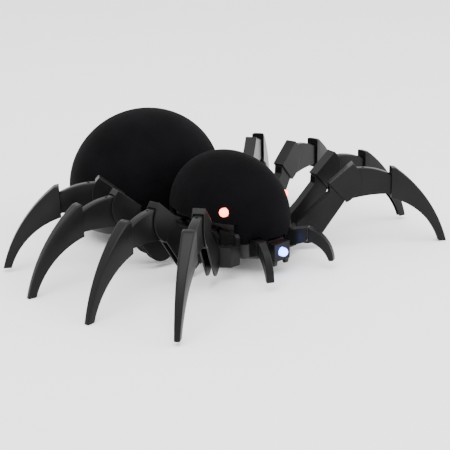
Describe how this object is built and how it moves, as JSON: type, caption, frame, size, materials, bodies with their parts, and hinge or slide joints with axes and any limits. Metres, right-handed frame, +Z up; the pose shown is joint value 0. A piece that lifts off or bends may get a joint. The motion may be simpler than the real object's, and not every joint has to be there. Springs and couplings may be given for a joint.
{
  "type": "walking spider robot",
  "caption": "Free-standing walking toy spider: flocked head and abdomen, lit eyes, and jointed channel-section legs carried in pairs on crank-driven bars.",
  "frame": {"origin": "on the ground plane at the centre of the whole toy's plan", "axes": "+Z up, the spider faces -Y, its left side is +X"},
  "size_m": [0.244, 0.1952, 0.0746],
  "materials": {
    "flock": "short black velvet flock over a moulded shell",
    "hull": "glossy black moulded ABS",
    "leg": "semi-gloss black moulded ABS",
    "bar": "satin black moulded acetal",
    "chassis": "satin dark grey moulded ABS",
    "switch": "satin black nylon",
    "gear": "natural white acetal",
    "steel": "plated steel",
    "board": "green solder mask on glass epoxy",
    "cell": "plain printed sleeve with no marks",
    "eye_led": "lit red lens",
    "mouth_led": "lit blue lens"
  },
  "bodies": {
    "body": {"head_shell": "flock", "abdomen_shell": "flock", "abdomen_hull": "hull", "chassis": "chassis", "gearbox_cover": "chassis", "circuit_board": "board", "mouth_bracket": "leg", "mouth_light": "mouth_led", "left_eye_light": "eye_led", "right_eye_light": "eye_led", "left_pedipalp_base": "leg", "left_pedipalp_claw": "leg", "right_pedipalp_base": "leg", "right_pedipalp_claw": "leg", "battery_door": "hull", "battery_door_screw": "steel", "battery_1": "cell", "battery_2": "cell", "battery_3": "cell", "left_gear_motor": "steel", "right_gear_motor": "steel"},
    "switch_slider": {"power_switch": "switch"},
    "left_front_crank": {"left_front_crank": "bar"},
    "left_rear_crank": {"left_rear_crank": "bar"},
    "left_idler_gear": {"left_idler_gear": "gear"},
    "left_pinion": {"left_pinion": "gear"},
    "left_long_bar_and_legs": {"left_long_bar": "bar", "left_leg_1_femur": "leg", "left_leg_1_tibia": "leg", "left_leg_1_foot": "leg", "left_leg_4_femur": "leg", "left_leg_4_tibia": "leg", "left_leg_4_foot": "leg"},
    "left_short_bar_and_legs": {"left_short_bar": "bar", "left_leg_2_femur": "leg", "left_leg_2_tibia": "leg", "left_leg_2_foot": "leg", "left_leg_3_femur": "leg", "left_leg_3_tibia": "leg", "left_leg_3_foot": "leg"},
    "right_front_crank": {"right_front_crank": "bar"},
    "right_rear_crank": {"right_rear_crank": "bar"},
    "right_idler_gear": {"right_idler_gear": "gear"},
    "right_pinion": {"right_pinion": "gear"},
    "right_long_bar_and_legs": {"right_long_bar": "bar", "right_leg_1_femur": "leg", "right_leg_1_tibia": "leg", "right_leg_1_foot": "leg", "right_leg_4_femur": "leg", "right_leg_4_tibia": "leg", "right_leg_4_foot": "leg"},
    "right_short_bar_and_legs": {"right_short_bar": "bar", "right_leg_2_femur": "leg", "right_leg_2_tibia": "leg", "right_leg_2_foot": "leg", "right_leg_3_femur": "leg", "right_leg_3_tibia": "leg", "right_leg_3_foot": "leg"}
  },
  "joints": [
    {"name": "power_switch_slide", "type": "slide", "parent": "body", "child": "switch_slider", "axis": [1, 0, 0], "range_m": [0, 0.004]},
    {"name": "left_front_crank_spin", "type": "hinge", "parent": "body", "child": "left_front_crank", "pos_m": [0.019, -0.03286, 0.02], "axis": [1, 0, 0], "continuous": true},
    {"name": "left_rear_crank_spin", "type": "hinge", "parent": "body", "child": "left_rear_crank", "pos_m": [0.019, -0.00486, 0.02], "axis": [1, 0, 0], "continuous": true},
    {"name": "left_idler_spin", "type": "hinge", "parent": "body", "child": "left_idler_gear", "pos_m": [0.016, -0.01886, 0.02], "axis": [1, 0, 0], "continuous": true},
    {"name": "left_pinion_spin", "type": "hinge", "parent": "body", "child": "left_pinion", "pos_m": [0.016, -0.02827, 0.03109], "axis": [1, 0, 0], "continuous": true},
    {"name": "left_long_bar_pin", "type": "hinge", "parent": "left_front_crank", "child": "left_long_bar_and_legs", "pos_m": [0.0222, -0.0305, 0.0189], "axis": [1, 0, 0], "continuous": true},
    {"name": "left_short_bar_pin", "type": "hinge", "parent": "left_front_crank", "child": "left_short_bar_and_legs", "pos_m": [0.0274, -0.03522, 0.0211], "axis": [1, 0, 0], "continuous": true},
    {"name": "right_front_crank_spin", "type": "hinge", "parent": "body", "child": "right_front_crank", "pos_m": [-0.019, -0.03286, 0.02], "axis": [1, 0, 0], "continuous": true},
    {"name": "right_rear_crank_spin", "type": "hinge", "parent": "body", "child": "right_rear_crank", "pos_m": [-0.019, -0.00486, 0.02], "axis": [1, 0, 0], "continuous": true},
    {"name": "right_idler_spin", "type": "hinge", "parent": "body", "child": "right_idler_gear", "pos_m": [-0.016, -0.01886, 0.02], "axis": [1, 0, 0], "continuous": true},
    {"name": "right_pinion_spin", "type": "hinge", "parent": "body", "child": "right_pinion", "pos_m": [-0.016, -0.00945, 0.03109], "axis": [1, 0, 0], "continuous": true},
    {"name": "right_long_bar_pin", "type": "hinge", "parent": "right_front_crank", "child": "right_long_bar_and_legs", "pos_m": [-0.0222, -0.03522, 0.0211], "axis": [1, 0, 0], "continuous": true},
    {"name": "right_short_bar_pin", "type": "hinge", "parent": "right_front_crank", "child": "right_short_bar_and_legs", "pos_m": [-0.0274, -0.0305, 0.0189], "axis": [1, 0, 0], "continuous": true}
  ],
  "couplings": [
    {"joint": "left_rear_crank_spin", "follows": "left_front_crank_spin", "ratio": 1},
    {"joint": "left_idler_spin", "follows": "left_front_crank_spin", "ratio": -1.3333},
    {"joint": "left_pinion_spin", "follows": "left_front_crank_spin", "ratio": -2},
    {"joint": "left_long_bar_pin", "follows": "left_front_crank_spin", "ratio": -1},
    {"joint": "left_short_bar_pin", "follows": "left_front_crank_spin", "ratio": -1},
    {"joint": "right_rear_crank_spin", "follows": "right_front_crank_spin", "ratio": 1},
    {"joint": "right_idler_spin", "follows": "right_front_crank_spin", "ratio": -1.3333},
    {"joint": "right_pinion_spin", "follows": "right_front_crank_spin", "ratio": -2},
    {"joint": "right_long_bar_pin", "follows": "right_front_crank_spin", "ratio": -1},
    {"joint": "right_short_bar_pin", "follows": "right_front_crank_spin", "ratio": -1}
  ]
}
